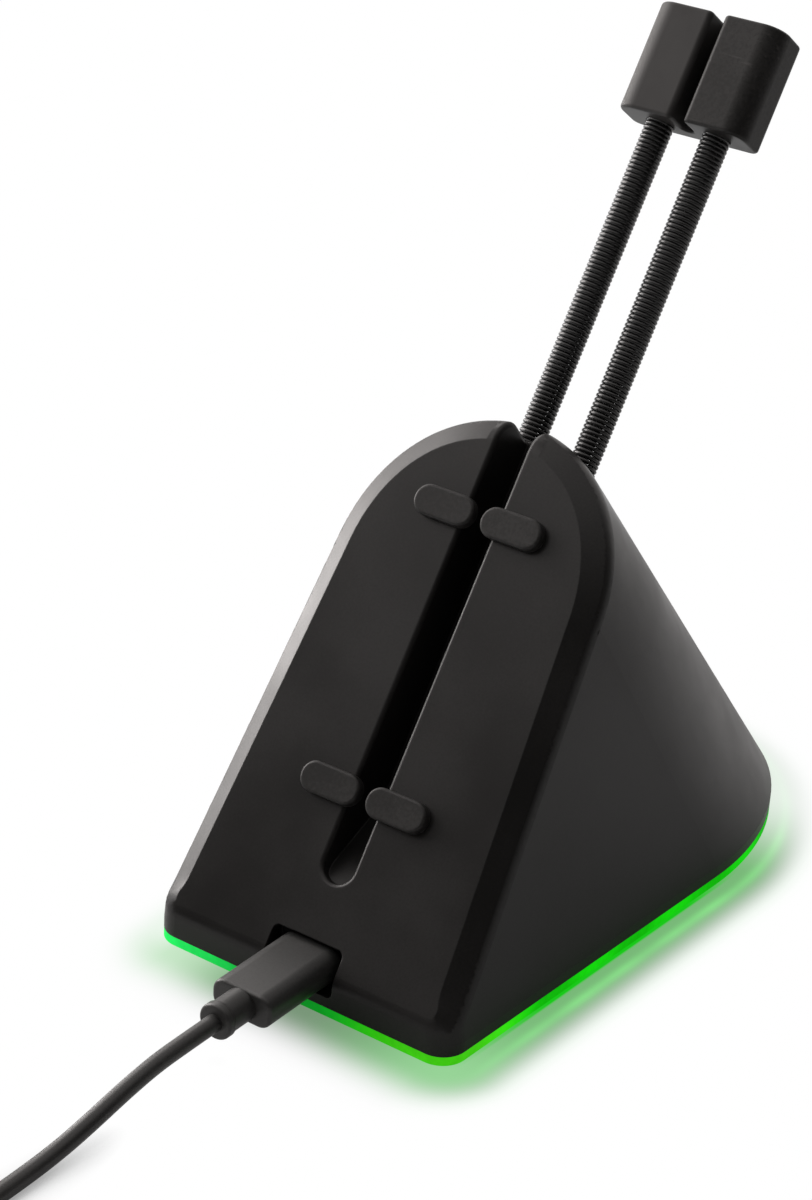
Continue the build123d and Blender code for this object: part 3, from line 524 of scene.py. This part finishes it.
def wound_wire(name, axis_point, radius, low, high):
    """A helix of round wire about the arm's axis, between two distances along it."""
    bm = bmesh.new()
    steps = round((high - low) / WIRE_PITCH * TURN_STEPS)
    last = None
    for step in range(steps + 1):
        along = low + (high - low) * step / steps
        angle = 2 * pi * along / WIRE_PITCH
        outwards = TO_RIGHT * cos(angle) + out_arm * sin(angle)
        middle = axis_point + up_arm * along + outwards * radius
        loop = []
        for side in range(WIRE_SIDES):
            turn = 2 * pi * side / WIRE_SIDES
            loop.append(bm.verts.new(middle + (outwards * cos(turn) + up_arm * sin(turn)) * WIRE_RADIUS))
        if last:
            for side in range(WIRE_SIDES):
                after = (side + 1) % WIRE_SIDES
                bm.faces.new((last[side], last[after], loop[after], loop[side]))
        else:
            bm.faces.new(loop)
        last = loop
    bm.faces.new(last)
    bmesh.ops.recalc_face_normals(bm, faces=bm.faces)
    mesh = bpy.data.meshes.new(name)
    bm.to_mesh(mesh)
    bm.free()
    mesh.polygons.foreach_set("use_smooth", [True] * len(mesh.polygons))
    return piece(name, mesh, "spring")


# Spring arms: each wire in a lower and an upper piece, split half way between the arm_nod and head_sway joints
for hand in ("left", "right"):
    node = hand + "_spring"
    low_corner, high_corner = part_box(node)
    centre = (low_corner + high_corner) / 2
    size = high_corner - low_corner
    length = (size.y - size.x * up_arm.z) / up_arm.y
    coil_radius = size.x / 2 - WIRE_RADIUS
    split = (half_way - centre).dot(up_arm)
    lower = wound_wire(hand + "_spring_lower", centre, coil_radius, -length / 2, split)
    upper = wound_wire(hand + "_spring_upper", centre, coil_radius, split, length / 2)
    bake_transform(lower)
    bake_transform(upper)
    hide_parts(node)
    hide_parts(node)


def coil_points():
    """The coil's turns: a layer inwards, and one on top of it outwards that ends with half a turn."""
    radii = [*COIL_RADII, *COIL_RADII[-2::-1]]
    points = []
    for step in range(round((len(radii) - 0.5) * COIL_STEPS) + 1):
        turned = step / COIL_STEPS
        number = int(turned)
        after = radii[min(number + 1, len(radii) - 1)]
        narrowing = ease((turned - number - NARROW_FROM) / CHANGE_OVER)
        radius = (radii[number] + (after - radii[number]) * narrowing) / cos(pi / COIL_STEPS)
        climb = ease((turned - len(COIL_RADII) + 1 - CLIMB_FROM) / CHANGE_OVER)
        angle = -2 * pi * turned
        x, y = COIL_CENTRE[0] + radius * cos(angle), COIL_CENTRE[1] + radius * sin(angle)
        points.append((x, y, ON_DESK + ONE_CORD_UP * climb))
    return points


# Lead: the route down to the desk, the coil's turns and the tail to the far plug
coil_left = COIL_CENTRE[0] - COIL_RADII[0]
tail = [(coil_left + x, COIL_CENTRE[1] + y, z) for x, y, z in FROM_COIL]
route = [*TO_COIL, *coil_points(), *tail]
cord_curve = bpy.data.curves.new("lead_cord", "CURVE")
cord_curve.dimensions = "3D"
cord_curve.bevel_depth = CORD_RADIUS
cord_curve.bevel_resolution = 5
cord_curve.use_fill_caps = True
cord_curve.resolution_u = 6
spline = cord_curve.splines.new("NURBS")
spline.points.add(len(route) - 1)
for point, spot in zip(spline.points, route):
    point.co = (*(value * MM for value in spot), 1)
spline.order_u = 3
spline.use_endpoint_u = True
cord = piece("lead_cord", cord_curve, "lead")
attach(cord, "base")
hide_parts("cord_run", "cord_coil", "cord_tail")


def hull(points):
    """The convex outline of points in plan, anticlockwise."""
    points = sorted(set(points))
    halves = []
    for ordered in (points, points[::-1]):
        chain = []
        for x, y in ordered:
            while len(chain) > 1:
                (ax, ay), (bx, by) = chain[-2:]
                if (bx - ax) * (y - ay) - (by - ay) * (x - ax) > 0:
                    break
                chain.pop()
            chain.append((x, y))
        halves += chain[:-1]
    return [Vector(point) for point in halves]


def divided(outline, step):
    """A closed outline with its sides divided into runs of about one step."""
    points = []
    for number, here in enumerate(outline):
        run = outline[(number + 1) % len(outline)] - here
        parts = max(1, round(run.length / step))
        points += [here + run * part / parts for part in range(parts)]
    return points


def floor_glow(spot, way, near):
    """The floor's colour near millimetres from the lit ring, with painted shade, painted green light, a painted
    streak and a painted mirror image of the ring, and how far out of its light that is.
    """
    right, front, left = max(0, way.x), max(0, -way.y), max(0, -way.x)
    along = (spot.y - FRONT_CORNER.y) / MM
    corner = exp(-(((spot - FRONT_CORNER).length / CORNER_SIZE) ** 2))
    middle = exp(-((spot.x / MIDDLE_SIZE) ** 2)) * front
    to_left = ease((LEFT_FROM - spot.x) / LEFT_OVER)
    fading = (1 - LEFT_FADE * left) * (1 - BACK_FADE * ease((along - BACK_FROM) / BACK_OVER))

    reach = GLOW_REACH + FRONT_REACH * front**2 + RIGHT_REACH * right**2 + LEFT_REACH * left
    power = GLOW_POWER + RIGHT_POWER * right
    green_power = power + RIGHT_GREEN_POWER * right
    grey_depth = (GREY_DEPTH - GREY_CORNER * corner) * (1 - GREY_LEFT * to_left) * fading
    green_depth = GREEN_DEPTH + GREEN_MIDDLE * middle - GREEN_CORNER * corner
    green_depth *= (1 - GREEN_LEFT * to_left) * fading
    # Painted shade in grey and painted green light, both fading away from the ring
    grey = 1 - grey_depth * exp(-((near / reach) ** power))
    green = 1 - green_depth * exp(-((near / (GREEN_REACH * reach)) ** green_power))

    # A painted streak of green light at the right
    wisps = 0.8 + 0.25 * sin(along / 3.1) * sin(along / 7.7 + 1)
    streak = right * (1 - corner) * fading * wisps * exp(-(((near - STREAK_AT) / STREAK_WIDTH) ** 2))
    green += STREAK_GREEN * streak
    grey += STREAK_GREY * streak

    # The ring's painted mirror image on the floor right beside it
    mirrored = right * ease((MIRROR_WIDTH - near) / MIRROR_SOFT)
    mirrored *= ease(along / MIRROR_START) * ease((MIRROR_END - along) / MIRROR_END_OVER)
    grey += (MIRROR_GREY - grey) * mirrored
    green += (MIRROR_GREEN - green) * mirrored
    return grey, min(green, 1), grey, ease((near - LIT_WIDTH) / LIT_SOFT)


# Floor: rings of vertices round the lit ring's outline, each with its painted glow and shade
ring_points = [(round(vert.co.x, 6), round(vert.co.y, 6)) for vert in nodes["light_ring"].data.vertices]
outline = divided(hull(ring_points), FLOOR_STEP)
ways = []
for number in range(len(outline)):
    run = outline[(number + 1) % len(outline)] - outline[number - 1]
    ways.append(Vector((run.y, -run.x)).normalized())
floor_bm = bmesh.new()
glow_layer = floor_bm.verts.layers.float_color.new("glow")
rows = []
for distance in FLOOR_RINGS:
    row = []
    for here, way in zip(outline, ways):
        spot = here + way * distance * MM
        vert = floor_bm.verts.new((spot.x, spot.y, FLOOR_HEIGHT))
        vert[glow_layer] = floor_glow(spot, way, max(distance, 0))
        row.append(vert)
    rows.append(row)
for inner, outer in zip(rows, rows[1:]):
    for number in range(len(outline)):
        after = (number + 1) % len(outline)
        floor_bm.faces.new((inner[number], outer[number], outer[after], inner[after]))
floor_bm.faces.new(rows[0])
bmesh.ops.recalc_face_normals(floor_bm, faces=floor_bm.faces)
floor_mesh = bpy.data.meshes.new("floor")
floor_bm.to_mesh(floor_mesh)
floor_bm.free()
floor = bpy.data.objects.new("floor", floor_mesh)
bpy.context.scene.collection.objects.link(floor)

# Floor material: pale paper to light; white with the glow and a close shade to look at and in reflections
paper = Paint("white_floor")
paper.set(Base_Color=(FLOOR_GREY, FLOOR_GREY, FLOOR_GREY, 1), Roughness=0.9, Specular_IOR_Level=0.1)
floor_path = paper.add("ShaderNodeLightPath")
# In reflections the floor is painted white to the left and shows mostly its lamp-lit shading to the right, as if
# lit more from the left
gloss_level = paper.span(paper.axes(paper.where)["X"], *GLOSS_SPAN, *GLOSS_LEVELS)
in_gloss = paper.math("MULTIPLY", floor_path.outputs["Is Glossy Ray"], gloss_level)
shows = paper.math("MAXIMUM", floor_path.outputs["Is Camera Ray"], in_gloss)
shows = paper.math("MAXIMUM", shows, floor_path.outputs["Is Transmission Ray"])
glow = paper.add("ShaderNodeAttribute", attribute_name="glow")
close_by = paper.add("ShaderNodeAmbientOcclusion", samples=8)
close_by.inputs["Distance"].default_value = FLOOR_SHADE
open_sky = paper.span(close_by.outputs["AO"], 0.25, 1.0, 0.35, 1.0)
shaded = paper.add("ShaderNodeMix", data_type="RGBA", blend_type="MULTIPLY")
shaded.inputs[0].default_value = 1.0
paper.join(glow.outputs["Color"], shaded.inputs[6])
paper.join(paper.mix(glow.outputs["Alpha"], WHITE, open_sky), shaded.inputs[7])
bright = paper.add("ShaderNodeEmission")
paper.join(shaded.outputs[2], bright.inputs["Color"])
either = paper.add("ShaderNodeMixShader")
paper.join(shows, either.inputs[0])
paper.join(paper.shader.outputs[0], either.inputs[1])
paper.join(bright.outputs[0], either.inputs[2])
paper.join(either.outputs[0], paper.out.inputs[0])
floor.data.materials.append(paper.mat)

# World: white to look at; as light and in reflections dim in front near the floor and dark at the right
world = bpy.data.worlds.new("studio")
bpy.context.scene.world = world
world.use_nodes = True
sky = Nodes(world.node_tree)
sky_way = sky.add("ShaderNodeTexCoord").outputs["Generated"]
sky_axes = sky.axes(sky_way)
in_front = sky.span(sky_axes["Y"], *FRONT_SPAN, 0, 1)
near_floor = sky.span(sky_axes["Z"], *LOW_SPAN, 0, LOW_FRONT_DIM)
level = sky.math("SUBTRACT", 1.0, sky.math("MULTIPLY", in_front, near_floor))
for shade_way, shade_level in SHADE_WAYS:
    towards = sky.dot(sky_way, tuple(Vector(shade_way).normalized()))
    level = sky.math("MULTIPLY", level, sky.span(towards, *SHADE_SPAN, 1.0, shade_level))
sky_path = sky.add("ShaderNodeLightPath")
reflected = sky.math("MAXIMUM", sky_path.outputs["Is Glossy Ray"], sky_path.outputs["Is Transmission Ray"])
level = sky.math("MULTIPLY", level, sky.span(reflected, 0, 1, WORLD_LEVEL, 1.0))
level = sky.math("MAXIMUM", level, sky_path.outputs["Is Camera Ray"])
background = sky.add("ShaderNodeBackground")
sky.join(level, background.inputs["Strength"])
sky.join(sky.mix(sky_path.outputs["Is Camera Ray"], WARM, WHITE), background.inputs["Color"])
sky.join(background.outputs[0], sky.add("ShaderNodeOutputWorld").inputs[0])

# Lamps: rectangular soft boxes
for name, place, aim, size, watts in LAMPS:
    lamp_data = bpy.data.lights.new(name, "AREA")
    lamp_data.shape = "RECTANGLE"
    lamp_data.size, lamp_data.size_y = size
    lamp_data.energy = watts
    lamp_data.color = WARM
    lamp = bpy.data.objects.new(name, lamp_data)
    bpy.context.scene.collection.objects.link(lamp)
    lamp.location = place
    lamp.rotation_euler = (Vector(aim) - Vector(place)).to_track_quat("-Z", "Y").to_euler()

# Camera
camera_data = bpy.data.cameras.new("camera")
camera_data.lens = LENS
camera_data.sensor_width = SENSOR_WIDTH
camera_data.clip_start = CLIP_START
camera = bpy.data.objects.new("camera", camera_data)
bpy.context.scene.collection.objects.link(camera)
facing = AHEAD.to_track_quat("-Z", "Y").to_matrix().to_4x4()
camera.matrix_world = Matrix.Translation(EYE) @ facing @ Matrix.Rotation(ROLL, 4, "Z")
bpy.context.scene.camera = camera
bpy.context.scene.view_settings.view_transform = "Standard"
